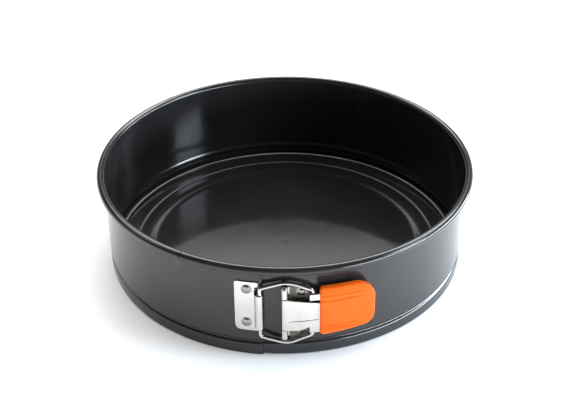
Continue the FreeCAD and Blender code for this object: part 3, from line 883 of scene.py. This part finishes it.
# Each piece: object, body, CAD nodes that it stands for, slot, material
pieces = [
    (band_right, "fixed_side", ["band_right"], "nonstick_steel", coating),
    (band_left, "free_side", ["band_left"], "nonstick_steel", coating),
    (base, "base", ["base_disc"], "nonstick_steel", base_coating),
    (hinge_plate, "fixed_side", ["hinge_plate"], "bright_steel", hinge_steel),
    (hinge_pin, "fixed_side", ["hinge_pin"], "bright_steel", plate_steel),
    (catch_plate, "free_side", ["catch_plate"], "bright_steel", plate_steel),
    (lever_steel, "lever", ["lever"], "bright_steel", plate_steel),
    (lug_upper, "lever", [], "bright_steel", plate_steel),
    (lug_lower, "lever", [], "bright_steel", plate_steel),
    (grip, "lever", ["lever_grip"], "silicone", orange),
    (wire_loop, "loop", ["wire_loop"], "bright_wire", wire_steel)]
for node, head in rivets.items():
    side = "free_side" if node.startswith("catch") else "fixed_side"
    pieces.append((head, side, [node], "bright_steel", rivet_steel))
for obj, body, nodes, slot, material in pieces:
    obj.data.materials.append(material)
    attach(obj, body)
    if nodes:
        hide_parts(*nodes)
band_back.data.materials.append(coating)
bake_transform(band_back)


# Floor, light and camera
def floor_material():
    material, tree, shader, where = node_material("pale_floor")
    colour = ramp(tree, noise(tree, where, 3, 2), (0.90, 0.90, 0.90), (0.915, 0.915, 0.915))
    tree.links.new(colour, shader.inputs["Base Color"])
    shader.inputs["Roughness"].default_value = 0.6
    shader.inputs["Specular IOR Level"].default_value = 0.2
    return material


floor_mesh = bpy.data.meshes.new("floor")
floor_mesh.from_pydata([(-6, -6, 0), (6, -6, 0), (6, 6, 0), (-6, 6, 0)], [], [(0, 1, 2, 3)])
floor = bpy.data.objects.new("floor", floor_mesh)
bpy.context.scene.collection.objects.link(floor)
floor.location.z = -0.0002
floor_mesh.materials.append(floor_material())

WHITE, DARK = 2.8, 0.08
HORIZON, SILL = 0.6, 0.75      # brightness of the horizon's glow and of the sill, of WHITE


def studio_world():
    """A dark room. It is bright high at the back, above a dimmer sill, and glows low down."""
    world = bpy.data.worlds.new("studio")
    world.use_nodes = True
    tree = world.node_tree
    split = tree.nodes.new("ShaderNodeSeparateXYZ")
    tree.links.new(tree.nodes.new("ShaderNodeTexCoord").outputs["Generated"], split.inputs[0])
    x, y, z = split.outputs
    glow = times(tree, remap(tree, z, 1, 0, (0.05, 0.15)), HORIZON)
    sill = times(tree, remap(tree, z, 0, 1, (0.563, 0.574)), SILL)
    high = math_node(tree, "MAXIMUM", sill, remap(tree, z, 0, 1, (0.575, 0.60)))
    sideways = times(tree, math_node(tree, "ABSOLUTE", x), 0.5)
    behind = remap(tree, math_node(tree, "ADD", y, sideways), 0, 1, (0.30, 0.55))
    lit = math_node(tree, "MAXIMUM", times(tree, behind, high), glow)
    tint = ramp(tree, remap(tree, x, 0, 1, (-1, 1)), (1.0, 0.99, 0.96), (0.95, 0.975, 1.0))
    background = tree.nodes["Background"]
    tree.links.new(tint, background.inputs["Color"])
    tree.links.new(remap(tree, lit, DARK, WHITE, (0, 1)), background.inputs["Strength"])
    return world


bpy.context.scene.world = studio_world()


def receivers_of(name, objects):
    """A collection for a light that shines on only these objects."""
    group = bpy.data.collections.new(name)
    for obj in objects:
        group.objects.link(obj)
    return group


floor_only = receivers_of("floor_only", [floor])
bands = receivers_of("bands", [band_right, band_back, band_left])
base_only = receivers_of("base_only", [base])
grip_only = receivers_of("grip_only", [grip])
not_base = [piece[0] for piece in pieces if piece[0] != base]
all_but_base = receivers_of("all_but_base", [floor, band_back] + not_base)


def softbox(name, direction, far, size, radiance, colour, receivers=None, target=(0, 0, 0)):
    """A rectangular light that faces a target from an azimuth and height in degrees."""
    a, h = np.radians(direction)
    data = bpy.data.lights.new(name, "AREA")
    data.shape = "RECTANGLE"
    data.size, data.size_y = size
    data.energy = radiance * math.pi * size[0] * size[1]
    data.color = colour
    obj = bpy.data.objects.new(name, data)
    bpy.context.scene.collection.objects.link(obj)
    toward = Vector((math.cos(a) * math.cos(h), math.sin(a) * math.cos(h), math.sin(h)))
    obj.location = Vector(target) + toward * far
    obj.rotation_euler = toward.to_track_quat("Z", "Y").to_euler()
    if receivers:
        obj.light_linking.receiver_collection = receivers


# Each light: name, direction, distance, size, brightness, colour and what it shines on
softbox("back_box", (72, 50), 2.2, (2.4, 0.7), 7, (1.0, 0.995, 0.985), all_but_base)
softbox("right_box", (-17, 31), 1.5, (0.46, 0.30), 25, (0.84, 0.92, 1.0))
softbox("window", (-12, 4), 1.6, (3.3, 0.36), 29, (0.80, 0.90, 1.0), bands)
softbox("base_strip", (-90, 76), 1.5, (1.5, 0.13), 15, (0.95, 0.98, 1.0), base_only)
softbox("grip_fill", (-75, 42), 1.2, (0.6, 0.6), 3.0, (1.0, 0.97, 0.93), grip_only)
softbox("floor_fill", (0, 90), 1.6, (2.2, 2.2), 2.1, (1.0, 1.0, 1.0), floor_only)
softbox("floor_wash", (-15, 50), 0.5, (0.25, 0.25), 10, (0.55, 0.78, 1.0), floor_only,
        target=(0.19, -0.07, 0))

# Camera: the place in millimetres and the turns in radians fit the pan's rim and foot.
CAMERA_FOCAL_PX, IMAGE_WIDTH = 1138.56, 576
CAMERA_PLACE = (8.7009, -656.6265, 458.5448)
CAMERA_PITCH, CAMERA_ROLL, CAMERA_YAW = 0.580305, -0.006177, -0.010228
camera_data = bpy.data.cameras.new("camera")
camera_data.sensor_width = 36.0
camera_data.lens = CAMERA_FOCAL_PX / IMAGE_WIDTH * camera_data.sensor_width
camera_data.clip_start, camera_data.clip_end = 0.05, 30
camera = bpy.data.objects.new("camera", camera_data)
bpy.context.scene.collection.objects.link(camera)
forward = Vector((math.sin(CAMERA_YAW) * math.cos(CAMERA_PITCH),
                  math.cos(CAMERA_YAW) * math.cos(CAMERA_PITCH), -math.sin(CAMERA_PITCH)))
level = forward.cross(Vector((0, 0, 1))).normalized()
upright = level.cross(forward)
across = level * math.cos(CAMERA_ROLL) + upright * math.sin(CAMERA_ROLL)
upward = upright * math.cos(CAMERA_ROLL) - level * math.sin(CAMERA_ROLL)
turn = Matrix((across, upward, -forward)).transposed()
camera.matrix_world = Matrix.Translation(Vector(CAMERA_PLACE) * MM) @ turn.to_4x4()
bpy.context.scene.camera = camera
bpy.context.scene.view_settings.view_transform = "Standard"

bpy.context.view_layer.update()
